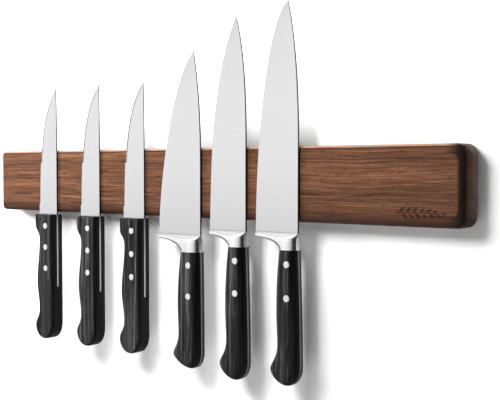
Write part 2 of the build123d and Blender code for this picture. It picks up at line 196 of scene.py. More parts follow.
steak_knives = ("steak_knife_left", "steak_knife_middle", "steak_knife_right")
forged_knives = {
    "cook_knife": {
        "blade_length": 163.0, "blade_width": 50.0, "tip_drop": 8.0,
        "edge_curve": ((49.0, 41.0), (36.0, 138.0)), "spine_curve": ((0.0, 92.0), (1.8, 134.0)),
        "straight_spine": 62.0, "bolster": 14.2, "grip_length": 103.4, "neck": 18.4, "palm": 22.2,
        "waist": 21.4, "beak": 27.6, "swell": 0.9,
    },
    "slicing_knife": {
        "blade_length": 183.4, "blade_width": 40.0, "tip_drop": 10.8,
        "edge_curve": ((37.5, 54.0), (40.0, 127.0)), "spine_curve": ((0.2, 110.0), (1.4, 155.0)),
        "straight_spine": 80.0, "bolster": 12.5, "grip_length": 113.6, "neck": 14.8, "palm": 18.3,
        "waist": 17.2, "beak": 24.4, "swell": 2.3,
    },
    "carving_knife": {
        "blade_length": 190.1, "blade_width": 43.0, "tip_drop": 10.5,
        "edge_curve": ((43.0, 58.0), (34.5, 172.0)), "spine_curve": ((0.0, 107.0), (2.2, 159.0)),
        "straight_spine": 76.0, "bolster": 12.9, "grip_length": 111.2, "neck": 14.8, "palm": 17.9,
        "waist": 16.9, "beak": 23.8, "swell": 2.4,
    },
}


# ---- Curves and profiles, in millimetres
def bezier(*corners, count=40):
    """A cubic Bezier: its four corners weighted by s^3, 3ts^2, 3t^2s and t^3, with s = 1 - t."""
    t = np.linspace(0.0, 1.0, count)[:, None]
    start, leave, arrive, end = (np.array(corner, float) for corner in corners)
    s = 1 - t
    return s ** 3 * start + 3 * t * s ** 2 * leave + 3 * t ** 2 * s * arrive + t ** 3 * end


def chain(*curves):
    """Curves end to end, without the doubled points at their joints."""
    rest = [np.array(curve, float)[1:] for curve in curves[1:]]
    return np.concatenate([np.array(curves[0], float)] + rest)


def across_at(curve, heights):
    """The x of a curve that only rises or only falls, at each height."""
    order = np.argsort(curve[:, 1], kind="stable")
    return np.interp(heights, curve[order, 1], curve[order, 0])


def nearest_on(outline, x, z):
    """Each grid point's distance to an outline of straight pieces, and the index of its nearest piece."""
    start = outline[:-1]
    run = outline[1:] - start
    points = np.stack([x.ravel(), z.ravel()], axis=1)
    away = points[:, None, :] - start[None, :, :]
    length_squared = np.maximum((run ** 2).sum(axis=1), 1e-9)
    share = np.clip((away * run).sum(axis=2) / length_squared, 0.0, 1.0)
    distance = np.linalg.norm(away - share[:, :, None] * run, axis=2)
    nearest = distance.argmin(axis=1)
    return distance.min(axis=1).reshape(x.shape), nearest.reshape(x.shape)


def round_off(distance, radius):
    """How far a rounded edge lies below its face, at a distance in from the rim: the radius less a
    circle's rise."""
    inside = np.clip(radius - distance, 0.0, radius)
    return radius - np.sqrt(np.maximum(radius ** 2 - inside ** 2, 0.0))


def ease_off(distance, spread, drop):
    """How far an elliptic edge lies below its face: it starts `spread` in from the rim and falls by
    `drop` there."""
    inside = np.clip(1 - distance / spread, 0.0, 1.0)
    return drop * (1 - np.sqrt(np.maximum(1 - inside ** 2, 0.0)))


def soft_least(a, b, blend):
    """The lesser of two fields, with the crease between them rounded over `blend`."""
    near = np.clip(0.5 + 0.5 * (b - a) / blend, 0.0, 1.0)
    return b + (a - b) * near - blend * near * (1 - near)


def crowded(count):
    """Shares from 0 to 1, crowded at both ends as a half turn's cosine is."""
    return (1 - np.cos(np.linspace(0.0, math.pi, count))) / 2


def reach(count):
    """Shares from 0 to 1, crowded at the far end as a quarter turn's sine is."""
    return np.sin(np.linspace(0.0, math.pi / 2, count))


# ---- Meshes
def plate_rings(x, z, near, far):
    """One ring per row of a grid: along its near side, then back along its far side."""
    front = np.stack([x, near, z], axis=2)
    back = np.stack([x, far, z], axis=2)
    return np.concatenate([front, back[:, ::-1]], axis=1)


def skin(rings):
    """Points and faces of a closed skin: quads between neighbouring rings and one face over each end."""
    rows, count = rings.shape[:2]
    grid = np.arange(rows * count).reshape(rows, count)
    turned = np.roll(grid, -1, axis=1)
    quads = np.stack([grid[:-1], turned[:-1], turned[1:], grid[1:]], axis=2).reshape(-1, 4)
    return rings.reshape(-1, 3), quads.tolist() + [grid[0].tolist(), grid[-1].tolist()[::-1]]


def part_blade(whole, columns, bitten):
    """A blade's skin as three: its faces, the strip over its back, and the hollows between its teeth, which
    are the near bevel's faces on the bitten rows. The back strip and the hollows take dark finishes as
    painted shade."""
    points, faces = whole
    rows = (len(faces) - 2) // (2 * columns)
    column = np.tile(np.arange(2 * columns), rows)
    over_back = (column >= columns - 2) & (column <= columns + 1)
    painted_hollow_shade = np.repeat(bitten[:-1], 2 * columns) & (column < 2)
    plain = [face for face, other in zip(faces, over_back | painted_hollow_shade) if not other] + faces[-2:]
    return [(points, plain), (points, [face for face, chosen in zip(faces, over_back) if chosen]),
            (points, [face for face, chosen in zip(faces, painted_hollow_shade) if chosen])]


def near_back(points, ring, spread):
    """How near each point is to the back of its ring: 1 there, falling evenly to 0 at `spread` in from it.
    The grips' finish paints shade by it."""
    across = points.reshape(-1, ring, 3)[:, :, 0]
    return np.clip(1 - (across.max(axis=1, keepdims=True) - across) / spread, 0.0, 1.0).ravel()


def piece(name, skins, origin, coats, sharp_angle=34.0, shares=None):
    """A mesh object from skins in millimetres about an origin in metres, with one finish for each skin.
    `shares` gives each point a number that its finish reads as the first UV coordinate; the grips' finish
    paints shade by it."""
    points, faces, finish_of_face = [], [], []
    start = 0
    for number, (skin_points, skin_faces) in enumerate(skins):
        points.append(skin_points)
        faces += [[start + corner for corner in face] for face in skin_faces]
        finish_of_face += [number] * len(skin_faces)
        start += len(skin_points)
    places = np.concatenate(points) * MM + np.array(origin)
    mesh = bpy.data.meshes.new(name)
    mesh.from_pydata(places.tolist(), [], faces)
    mesh.polygons.foreach_set("material_index", finish_of_face)
    if shares is not None:
        corner_points = np.zeros(len(mesh.loops), np.int32)
        mesh.loops.foreach_get("vertex_index", corner_points)
        values = np.stack([shares[corner_points], np.zeros(len(corner_points))], axis=1)
        mesh.uv_layers.new(name="share").data.foreach_set("uv", values.ravel())
    clean = bmesh.new()
    clean.from_mesh(mesh)
    bmesh.ops.remove_doubles(clean, verts=clean.verts, dist=2e-6)
    bmesh.ops.dissolve_degenerate(clean, edges=clean.edges, dist=1e-6)
    bmesh.ops.recalc_face_normals(clean, faces=clean.faces)
    clean.to_mesh(mesh)
    clean.free()
    for coat in coats:
        mesh.materials.append(coat)
    mesh.shade_smooth()
    mesh.set_sharp_from_angle(angle=math.radians(sharp_angle))
    thing = bpy.data.objects.new(name, mesh)
    bpy.context.scene.collection.objects.link(thing)
    return thing


def drill(thing, cutter_skins, origin):
    """Cut holes into a piece, each the shape of one closed skin."""
    cutter = piece("drill", cutter_skins, origin, [])
    cut = thing.modifiers.new("holes", "BOOLEAN")
    cut.operation = "DIFFERENCE"
    cut.solver = "EXACT"
    cut.object = cutter
    ready = thing.evaluated_get(bpy.context.evaluated_depsgraph_get())
    drilled = bpy.data.meshes.new_from_object(ready)
    thing.modifiers.clear()
    thing.data = drilled
    bpy.data.objects.remove(cutter)
    drilled.shade_smooth()
    drilled.set_sharp_from_angle(angle=math.radians(34.0))
    return thing


def lathe(radii, depths, centre, turns=48):
    """A profile of radii and depths turned about an axis along y through a centre (x, z)."""
    angle = np.linspace(0.0, 2 * math.pi, turns, endpoint=False)
    x = centre[0] + np.outer(radii, np.cos(angle))
    z = centre[1] + np.outer(radii, np.sin(angle))
    y = np.repeat(np.array(depths, float)[:, None], turns, axis=1)
    return skin(np.stack([x, y, z], axis=2))


# ---- Node trees
class Value:
    """A node's output. Arithmetic on it adds Math nodes to its tree."""

    def __init__(self, tree, socket):
        self.tree = tree
        self.socket = socket

    def __add__(self, other):
        return self.tree.math("ADD", self, other)

    def __radd__(self, other):
        return self.tree.math("ADD", other, self)

    def __sub__(self, other):
        return self.tree.math("SUBTRACT", self, other)

    def __rsub__(self, other):
        return self.tree.math("SUBTRACT", other, self)

    def __mul__(self, other):
        return self.tree.math("MULTIPLY", self, other)

    def __rmul__(self, other):
        return self.tree.math("MULTIPLY", other, self)

    def __truediv__(self, other):
        return self.tree.math("DIVIDE", self, other)

    def __pow__(self, other):
        return self.tree.math("POWER", self, other)

    def step(self, low, high):
        """A smooth step from 0 at `low` to 1 at `high`, or down from 1 where `low` is the greater."""
        return self.tree.add("MapRange", {"interpolation_type": "SMOOTHSTEP"},
                             {"Value": self, "From Min": low, "From Max": high})


class Tree:
    """A node tree being built, for a material or for the room's light."""

    def __init__(self, node_tree):
        self.nodes = node_tree.nodes
        self.links = node_tree.links
        self.nodes.clear()

    def add(self, kind, settings=None, inputs=None, output=0):
        """Add a node: its settings first, a ramp's stops among them, then its sockets' values or
        links."""
        node = self.nodes.new("ShaderNode" + kind)
        for name, value in (settings or {}).items():
            if name == "stops":
                set_stops(node.color_ramp, value)
            else:
                setattr(node, name, value)
        for name, value in (inputs or {}).items():
            if isinstance(value, Value):
                self.links.new(value.socket, node.inputs[name])
            else:
                node.inputs[name].default_value = value
        return Value(self, node.outputs[output]) if node.outputs else None

    def math(self, operation, first, second=0.0):
        """A Math node on one or two numbers."""
        return self.add("Math", {"operation": operation}, {0: first, 1: second})

    def mix(self, share, first, second, kind="MIX"):
        """Colours mixed by a share from 0 to 1."""
        return self.add("Mix", {"data_type": "RGBA", "blend_type": kind},
                        {0: share, 6: first, 7: second}, 2)

    def ramp(self, value, *stops):
        """A value turned into a colour, by (place, colour) stops."""
        return self.add("ValToRGB", {"stops": stops}, {"Fac": value})

    def axes(self, vector):
        """The three numbers of a vector."""
        return [self.add("SeparateXYZ", None, {0: vector}, axis) for axis in "XYZ"]

    def grain(self, place, per_metre, detail=2.0, roughness=0.5, shift=(0.0, 0.0, 0.0)):
        """Noise from 0 to 1, with so many blotches in a metre along x, y and z."""
        spread = self.add("VectorMath", {"operation": "MULTIPLY_ADD"}, {0: place, 1: per_metre, 2: shift})
        return self.add("TexNoise", {"noise_dimensions": "3D"},
                        {"Vector": spread, "Scale": 1.0, "Detail": detail, "Roughness": roughness})


def set_stops(ramp, stops):
    """Give a colour ramp its (place, colour) stops."""
    while len(ramp.elements) < len(stops):
        ramp.elements.new(1.0)
    for element, (place, colour) in zip(ramp.elements, stops):
        element.position = place
        element.color = (*colour, 1.0)


def finish_start(name):
    """A new material's tree and its pattern coordinates, which are metres in the strip's own frame."""
    material = bpy.data.materials.new(name)
    material.use_nodes = True
    tree = Tree(material.node_tree)
    return material, tree, tree.add("TexCoord", None, None, "Object")


def finish_end(material, tree, sockets, height=None, depth=0.0):
    """Close a material: a Principled surface, with a relief of the given depth in metres from a
    height."""
    if height is not None:
        sockets = dict(sockets)
        sockets["Normal"] = tree.add("Bump", None, {"Height": height, "Distance": depth, "Strength": 1.0})
    surface = tree.add("BsdfPrincipled", None, sockets)
    tree.add("OutputMaterial", None, {"Surface": surface})
    return material


def colour(red, green, blue):
    """A display colour from 0 to 255 as linear light."""
    shares = np.array([red, green, blue]) / 255.0
    return tuple(np.where(shares <= 0.04045, shares / 12.92, ((shares + 0.055) / 1.055) ** 2.4).tolist())


# ---- Finishes
def walnut():
    """Oiled walnut: bands of figure and short dark pores along x, and a burnt floor in the cut ornament.
    Painted over it: shade on the rim's rounding at the right end, shade darkening towards the bottom edge,
    and along the top edge a light line of painted highlight over a dark line of painted shade."""
    material, tree, place = finish_start("walnut_oiled")
    sway = tree.grain(place, (9.0, 10.0, 22.0), 2.0, 0.5)
    lift = tree.add("CombineXYZ", None, {"Z": (sway - 0.5) * 0.007})
    bent = tree.add("VectorMath", {"operation": "ADD"}, {0: place, 1: lift})
    bands = tree.grain(bent, (4.0, 50.0, 75.0), 2.0, 0.5)
    lines = tree.grain(bent, (11.0, 480.0, 720.0), 4.0, 0.62, (3.1, 0.0, 5.7))
    fine = tree.grain(bent, (34.0, 1300.0, 1500.0), 2.0, 0.6, (9.2, 4.0, 1.3))
    pores = tree.grain(bent, (150.0, 1100.0, 1250.0), 1.0, 0.5, (2.0, 7.0, 4.0)).step(0.61, 0.70)
    tone = bands * 0.20 + lines * 0.44 + fine * 0.40
    wood = tree.ramp(tone,
                     (0.37, colour(38, 22, 14)), (0.46, colour(67, 42, 28)),
                     (0.55, colour(92, 60, 42)), (0.65, colour(123, 84, 60)))
    wood = tree.mix(pores * 0.6, wood, (*colour(30, 14, 8), 1.0))

    across, out, up = tree.axes(place)
    from_front = out + bar_depth
    middle_x, middle_z = ornament_middle[0] * MM, ornament_middle[1] * MM
    reach_x, reach_z = ornament_reach[0] * MM, ornament_reach[1] * MM
    burnt = (from_front.step(0.00008, 0.00030) * from_front.step(0.0009, 0.0006)
             * (across - middle_x + reach_x).step(0.0, 0.001)
             * (middle_x + reach_x - across).step(0.0, 0.001)
             * (up - middle_z + reach_z).step(0.0, 0.0005))
    wood = tree.mix(burnt * 0.7, wood, (*colour(44, 25, 16), 1.0))

    # Painted shade and painted highlight along the top edge: a dark line where the rounding starts, a light
    # line on the rounding.
    below_top = bar_half_height - up
    crease = below_top.step(0.0038, 0.0031) * below_top.step(0.0019, 0.0026)
    wood = tree.mix(crease * 0.65, wood, (*colour(36, 19, 12), 1.0))
    painted_top_highlight = below_top.step(0.0021, 0.0013) * from_front.step(0.0045, 0.0030)
    wood = tree.mix(painted_top_highlight * 0.55, wood, (*colour(196, 150, 122), 1.0))

    # Painted shade: a near black strip over the rim's rounding at the right end.
    corner = painted_end_shade_corner * MM
    past_x = tree.math("MAXIMUM", across - (bar_half_length - corner), 0.0)
    past_z = tree.math("MAXIMUM", tree.math("ABSOLUTE", up) - (bar_half_height - corner), 0.0)
    to_rim = corner - (past_x * past_x + past_z * past_z) ** 0.5
    at_right = across.step(bar_half_length - 0.019, bar_half_length - 0.007)
    painted_end_shade = to_rim.step(0.0096, 0.0064) * from_front.step(0.0040, 0.0016) * at_right
    wood = tree.mix(painted_end_shade * 0.97, wood, (*colour(14, 6, 3), 1.0))

    # Painted shade: the wood darkens towards the bottom edge.
    above_bottom = up + bar_half_height
    wood = tree.mix(above_bottom.step(0.016, 0.0) * 0.75, wood, (*colour(24, 12, 7), 1.0))
    relief = lines * 0.5 + fine * 0.35 - pores * 0.8
    return finish_end(material, tree, {
        "Base Color": wood, "Roughness": 0.46 + fine * 0.16, "Specular IOR Level": 0.28,
    }, relief, 0.00020)


def ground_steel():
    """A blade's satin finish: hair lines across the blade, and faint cloudiness."""
    material, tree, place = finish_start("steel_blade_satin")
    hairs = tree.grain(place, (45.0, 45.0, 4200.0), 3.0, 0.6)
    clouds = tree.grain(place, (22.0, 22.0, 30.0), 2.0, 0.5)
    shade = tree.ramp(hairs * 0.7 + clouds * 0.3, (0.30, (0.77, 0.77, 0.78)), (0.70, (0.87, 0.87, 0.88)))
    return finish_end(material, tree, {
        "Base Color": shade, "Metallic": 1.0, "Roughness": 0.24 + hairs * 0.08 + clouds * 0.05,
    }, hairs, 0.0000009)


def back_steel():
    """A blade's back: steel painted dark as shade, with fine marks across it."""
    material, tree, place = finish_start("steel_back_painted_shade")
    marks = tree.grain(place, (900.0, 900.0, 2600.0), 2.0, 0.6)
    shade = tree.ramp(marks, (0.30, (0.045, 0.045, 0.047)), (0.70, (0.11, 0.11, 0.112)))
    return finish_end(material, tree, {
        "Base Color": shade, "Metallic": 1.0, "Roughness": 0.36 + marks * 0.12,
    }, marks, 0.000002)


def dull_and_shaded_steel(name, dark, light, per_metre):
    """Steel that is linished, or ground into the teeth: duller than a blade's face and darkened further as
    painted shade, with its marks along the lesser of the three rates."""
    material, tree, place = finish_start(name)
    hairs = tree.grain(place, per_metre, 2.0, 0.6)
    shade = tree.ramp(hairs, (0.30, dark), (0.70, light))
    return finish_end(material, tree, {
        "Base Color": shade, "Metallic": 1.0, "Roughness": 0.34 + hairs * 0.12,
    }, hairs, 0.000002)


def polished_steel():
    """A bolster's bright polish, with very faint hair lines down the handle."""
    material, tree, place = finish_start("steel_bolster_polish")
    hairs = tree.grain(place, (2600.0, 2600.0, 60.0), 2.0, 0.6)
    shade = tree.ramp(hairs, (0.30, (0.88, 0.88, 0.89)), (0.70, (0.96, 0.96, 0.97)))
    return finish_end(material, tree, {
        "Base Color": shade, "Metallic": 1.0, "Roughness": 0.11 + hairs * 0.08,
    }, hairs, 0.0000008)


def rivet_steel():
    """A rivet's head: bright, with fine turned marks and tiny scratches."""
    material, tree, place = finish_start("steel_rivet_bright")
    marks = tree.grain(place, (1800.0, 1800.0, 1800.0), 2.0, 0.5)
    shade = tree.ramp(marks, (0.30, (0.46, 0.46, 0.46)), (0.70, (0.66, 0.66, 0.66)))
    return finish_end(material, tree, {
        "Base Color": shade, "Metallic": 0.45, "Roughness": 0.30 + marks * 0.10,
    }, marks, 0.000002)


def black_wood():
    """Black stained, pressed wood: grey streaks down the grip and small open pores, with painted shade
    making the back side near black, by the first UV coordinate.
    """
    material, tree, place = finish_start("black_pressed_wood")
    sway = tree.grain(place, (30.0, 30.0, 9.0), 1.0, 0.5)
    lift = tree.add("CombineXYZ", None, {"X": (sway - 0.5) * 0.006})
    bent = tree.add("VectorMath", {"operation": "ADD"}, {0: place, 1: lift})
    streaks = tree.grain(bent, (460.0, 460.0, 9.0), 3.0, 0.60)
    fine = tree.grain(bent, (2600.0, 2600.0, 60.0), 2.0, 0.6, (4.0, 8.0, 2.0))
    tone = streaks * 0.65 + fine * 0.40
    wood = tree.ramp(tone, (0.42, (0.0015, 0.0015, 0.0016)), (0.52, (0.012, 0.012, 0.0122)),
                     (0.66, (0.080, 0.080, 0.080)))
    # Painted shade: near black towards the grip's back side.
    edge = tree.axes(tree.add("TexCoord", None, None, "UV"))[0].step(0.12, 0.62)
    wood = tree.mix(edge * 0.86, wood, (0.0005, 0.0005, 0.0005, 1.0))
    return finish_end(material, tree, {
        "Base Color": wood, "Roughness": 0.42 + fine * 0.14, "Specular IOR Level": 0.15,
    }, tone, 0.00012)


def zinc_plate(name, tint):
    """Zinc plated steel: crystal blotches and a dull sheen."""
    material, tree, place = finish_start(name)
    blotches = tree.add("TexVoronoi", {"feature": "F1"}, {"Vector": place, "Scale": 320.0}, "Color")
    cloud = tree.grain(place, (160.0, 160.0, 160.0), 3.0, 0.55)
    tinted = tree.ramp(cloud, (0.30, tuple(0.72 * share for share in tint)), (0.70, tint))
    shade = tree.mix(0.12, tinted, blotches, "SOFT_LIGHT")
    return finish_end(material, tree, {
        "Base Color": shade, "Metallic": 1.0, "Roughness": 0.34 + cloud * 0.22,
    }, cloud, 0.00002)


def magnet_plate():
    """A magnet's nickel plate: bright grey, with worn dull patches."""
    material, tree, place = finish_start("magnet_nickel")
    wear = tree.grain(place, (90.0, 90.0, 90.0), 4.0, 0.6)
    shade = tree.ramp(wear, (0.35, (0.42, 0.42, 0.43)), (0.65, (0.62, 0.61, 0.60)))
    return finish_end(material, tree, {
        "Base Color": shade, "Metallic": 1.0, "Roughness": 0.24 + wear * 0.28,
    }, wear, 0.00001)


def pad_foam():
    """Closed-cell foam: dark grey, with a skin of small cells."""
    material, tree, place = finish_start("pad_foam_cells")
    cells = tree.add("TexVoronoi", {"feature": "F1"}, {"Vector": place, "Scale": 900.0}, "Distance")
    shade = tree.ramp(cells, (0.10, (0.030, 0.030, 0.032)), (0.80, (0.085, 0.085, 0.090)))
    return finish_end(material, tree, {
        "Base Color": shade, "Roughness": 0.85 + cells * 0.1,
    }, cells, 0.00025)


def cover_board():
    """Pressed fibre board: brown, with short pale and dark fibres every way."""
    material, tree, place = finish_start("cover_fibre_board")
    lying = tree.grain(place, (260.0, 900.0, 1500.0), 3.0, 0.65)
    standing = tree.grain(place, (1400.0, 900.0, 300.0), 3.0, 0.65, (5.0, 1.0, 3.0))
    shade = tree.ramp(lying * 0.5 + standing * 0.5, (0.38, colour(70, 48, 34)), (0.52, colour(98, 70, 50)),
                      (0.64, colour(138, 104, 76)))
    return finish_end(material, tree, {
        "Base Color": shade, "Roughness": 0.72 + lying * 0.14,
    }, lying + standing, 0.00010)


def stage_paint(name, shade, glow):
    """A matt paint that is seen from its front only: from behind, it lets the view and the light
    through. It is darker where steel mirrors it. Above the strip it glows, so that the blades stand
    against plain white."""
    material, tree, place = finish_start(name)
    stipple = tree.grain(place, (260.0, 260.0, 260.0), 2.0, 0.5)
    tone = tree.ramp(stipple, (0.2, tuple(0.985 * share for share in shade)), (0.8, shade))
    up = tree.axes(place)[2]
    mirrored = tree.add("LightPath", None, None, "Is Glossy Ray")
    black, white = (0.0, 0.0, 0.0, 1.0), (1.0, 1.0, 1.0, 1.0)
    paint = tree.add("BsdfPrincipled", None, {
        "Base Color": tree.mix(mirrored * 0.55, tone, black), "Roughness": 0.9, "Specular IOR Level": 0.1,
        "Emission Color": tree.mix(up.step(0.022, 0.062) * (1.0 - mirrored), black, white),
        "Emission Strength": glow,
    })
    clear = tree.add("BsdfTransparent")
    behind = tree.add("NewGeometry", None, None, "Backfacing")
    shadow = tree.add("LightPath", None, None, "Is Shadow Ray")
    surface = tree.add("MixShader", None, {0: tree.math("MAXIMUM", behind, shadow), 1: paint, 2: clear})
    tree.add("OutputMaterial", None, {"Surface": surface})
    return material


# ---- The wooden bar
def round_rectangle(width, height, radii, steps=14):
    """A rectangle about the middle, counter-clockwise from its top right, with a quarter circle for each
    corner."""
    turns = np.linspace(0.0, math.pi / 2, steps)
    corners = []
    signs = ((1, 1), (-1, 1), (-1, -1), (1, -1))
    for quarter, ((right, up), radius) in enumerate(zip(signs, radii)):
        angle = turns + quarter * math.pi / 2
        x = right * (width / 2 - radius) + radius * np.cos(angle)
        z = up * (height / 2 - radius) + radius * np.sin(angle)
        corners.append(np.stack([x, z], axis=1))
    return np.concatenate(corners)


def outward(outline):
    """The outward direction at each point of a closed counter-clockwise outline."""
    run = np.roll(outline, -1, axis=0) - np.roll(outline, 1, axis=0)
    run /= np.linalg.norm(run, axis=1)[:, None]
    return np.stack([run[:, 1], -run[:, 0]], axis=1)


def bar_body(length, height, depth):
    """The bar: its outline drawn straight out from the wall, then drawn in along a quarter circle at
    the front rim. The circle's radius grows where the rim faces right, and there the back rim is
    rounded as well."""
    left_corner, right_corner = bar_corners
    outline = round_rectangle(length, height, (right_corner, left_corner, left_corner, right_corner))
    facing = outward(outline)
    radius = bar_rim_round + (bar_end_round - bar_rim_round) * np.clip(facing[:, 0], 0.0, 1.0) ** 2
    turns = np.linspace(0.0, math.pi / 2, 15)
    inset = radius[None, :] * (1 - np.cos(turns))[:, None]
    out = depth - radius[None, :] * (1 - np.sin(turns))[:, None]
    back_radius = bar_back_round * np.clip(facing[:, 0], 0.0, 1.0) ** 2
    inset = np.concatenate([back_radius[None, :] * (1 - np.sin(turns))[:, None], inset])
    out = np.concatenate([back_radius[None, :] * (1 - np.cos(turns))[:, None], out])
    x = outline[None, :, 0] - facing[None, :, 0] * inset
    z = outline[None, :, 1] - facing[None, :, 1] * inset
    return skin(np.stack([x, -out, z], axis=2))


def prism(centre, width, height, radius, near, far):
    """A round-cornered block that stands from `near` to `far` in front of the wall."""
    outline = round_rectangle(width, height, (radius,) * 4, 8) + np.array(centre)
    rings = [np.stack([outline[:, 0], np.full(len(outline), -depth), outline[:, 1]], axis=1)
             for depth in (near, far)]
    return skin(np.array(rings))


def recess_for(node, clearance, far):
    """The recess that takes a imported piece, from behind the bar to `far`, larger all round by a
    clearance."""
    low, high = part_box(node)
    centre = ((low.x + high.x) / 2 / MM, (low.z + high.z) / 2 / MM)
    width = (high.x - low.x) / MM + 2 * clearance
    height = (high.z - low.z) / MM + 2 * clearance
    return prism(centre, width, height, recess_corner, recess_mouth, far)


def leaf(foot, length, width, lean):
    """A leaf's cut, straight into the bar's face: from its foot at the stem, between two half waves of
    a sine, leaning by an angle."""
    share = np.linspace(0.0, 1.0, 12)
    belly = width / 2 * np.sin(math.pi * share)
    turn = math.radians(lean)
    along = np.concatenate([share, share[-2:0:-1]]) * length
    across = np.concatenate([-belly, belly[-2:0:-1]])
    x = foot[0] + along * math.cos(turn) - across * math.sin(turn)
    z = foot[1] + along * math.sin(turn) + across * math.cos(turn)
    rings = [np.stack([x, np.full(len(x), -depth), z], axis=1) for depth in (ornament_floor, ornament_top)]
    return skin(np.array(rings))


def ornament():
    """A plain twig: a stem with pairs of leaves that get smaller towards its end."""
    middle_x, stem_z = ornament_middle
    start = middle_x - ornament_length / 2
    cuts = [prism((middle_x + 1.0, stem_z), ornament_length, 0.7, 0.3, ornament_floor, ornament_top)]
    for number in range(leaf_pairs):
        foot_x = start + 4.0 + number * leaf_spacing
        size = 6.2 - 0.5 * number
        cuts.append(leaf((foot_x, stem_z + 0.5), size, 2.0, 42.0))
        cuts.append(leaf((foot_x + 2.6, stem_z - 0.5), size, 2.0, -42.0))
    return cuts + [leaf((start + ornament_length + 1.6, stem_z), 4.6, 1.9, 0.0)]


def add_wood_bar():
    """The bar with its recesses for the channel's contents, the cover and the hanger plates, the
    pockets behind the keyholes, and the ornament."""
    low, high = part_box("wood_bar")
    middle = (0.0, 0.0, 0.0)
    body = bar_body((high.x - low.x) / MM, (high.z - low.z) / MM, (high.y - low.y) / MM)
    bar = piece("wood_bar_shaped", [body], middle, [finishes["wood"]])
    magnet_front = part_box("magnets")[0].y / -MM
    cover_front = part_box("back_cover")[0].y / -MM
    plate_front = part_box("hanger_plate_left")[0].y / -MM
    recesses = [recess_for("back_cover", cover_clearance, cover_front)]
    pockets = []
    for node in ("hanger_plate_left", "hanger_plate_right"):
        recesses.append(recess_for(node, cover_clearance, plate_front))
        near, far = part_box(node)
        pockets.append(prism(((near.x + far.x) / 2 / MM, keyhole_pocket_z), *keyhole_pocket, recess_corner,
                             plate_front - 0.5, plate_front + keyhole_pocket_depth))
    drill(bar, [recess_for("keeper_plate", channel_clearance, magnet_front)], middle)
    drill(bar, recesses, middle)
    drill(bar, pockets + ornament(), middle)
    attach(bar, body_of(frame["nodes"]["wood_bar"])[0])
    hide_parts("wood_bar")


# ---- Forged knives
def forged_edges(size):
    """A forged blade's cutting edge and its back, as curves from the heel up to the point."""
    (edge_low, edge_high), (back_low, back_high) = size["edge_curve"], size["spine_curve"]
    point = (-size["tip_drop"], size["blade_length"])
    heel = (-size["blade_width"], 0.0)
    edge = bezier(heel, (-edge_low[0], edge_low[1]), (-edge_high[0], edge_high[1]), point, count=160)
    bend = (0.0, size["straight_spine"])
    spine = bezier(bend, (-back_low[0], back_low[1]), (-back_high[0], back_high[1]), point, count=120)
    return edge, chain([(0.0, 0.0), bend], spine)


def blade_columns(width, bevel, spine_round, count):
    """Shares across a blade from its edge to its back, one row for each width: three of them are on the
    bevel and five on the back's round."""
    on_bevel = np.minimum(bevel / width, 0.45)[:, None]
    on_spine = np.minimum(spine_round / width, 0.20)[:, None]
    flat = np.linspace(0.0, 1.0, count)[None, 1:-1]
    return np.concatenate([
        on_bevel * np.array([[0.0, 0.5, 1.0]]),
        on_bevel + (1 - on_bevel - on_spine) * flat,
        1 - on_spine * np.array([[1.0, 0.62, 0.30, 0.09, 0.0]]),
    ], axis=1), on_bevel


def forged_blade(size):
    """A ground blade. Half its thickness falls evenly from the back to the bevel and towards the point,
    then along the bevel to a sharp edge. A fine groove runs across it just above the heel."""
    edge, spine = forged_edges(size)
    length = size["blade_length"]
    near_heel = np.linspace(0.0, 1.4, 10)
    z = np.concatenate([near_heel, 1.4 + (length - 1.4) * reach(110)[1:]])
    left = across_at(edge, z)
    right = across_at(spine, z)
    width = np.maximum(right - left, 0.02)
    slope = np.abs(np.gradient(left, z))
    slant = np.minimum(np.sqrt(1 + slope ** 2), 3.0)
    share, on_bevel = blade_columns(width, forged_bevel * slant, blade_spine_round, 14)
    x = left[:, None] + width[:, None] * share
    rise = np.clip(z / length, 0.0, 1.0)[:, None]
    thinning = 1 - 0.36 * rise ** 1.5
    core = forged_edge_half + (tang_half - forged_edge_half) * share * thinning
    bevel = np.clip(share / on_bevel, 0.0, 1.0)
    half = sharp_half + (core - sharp_half) * bevel
    half = half - ease_off(right[:, None] - x, blade_spine_round, np.minimum(blade_spine_drop, core * 0.45))
    groove = heel_groove_depth * np.exp(-((z[:, None] - heel_groove_height) / heel_groove_spread) ** 2)
    half = np.maximum(half - groove * np.clip(half / tang_half, 0.3, 1.0), 0.02)
    z = np.repeat(z[:, None], x.shape[1], axis=1)
    return part_blade(skin(plate_rings(x, z, -half, half)), x.shape[1], np.zeros(len(x), bool))


def bolster_underside(size):
    """The bolster's rim from below its heel's tip: a round corner, then the sweep down to the grip."""
    width, neck, height = size["blade_width"], size["neck"], size["bolster"]
    turn = bolster_corner * 0.55
    foot = -bolster_heel_height
    corner = bezier((-width, foot + bolster_corner), (-width, foot + turn), (-width + turn, foot),
                    (-width + bolster_corner, foot - 0.04), count=14)
    sweep = bezier(tuple(corner[-1]), (-width + 0.45 * (width - neck), foot - 0.6),
                   (-neck - 1.0, -height * 0.55), (-neck, -height), count=60)
    return chain(corner, sweep)


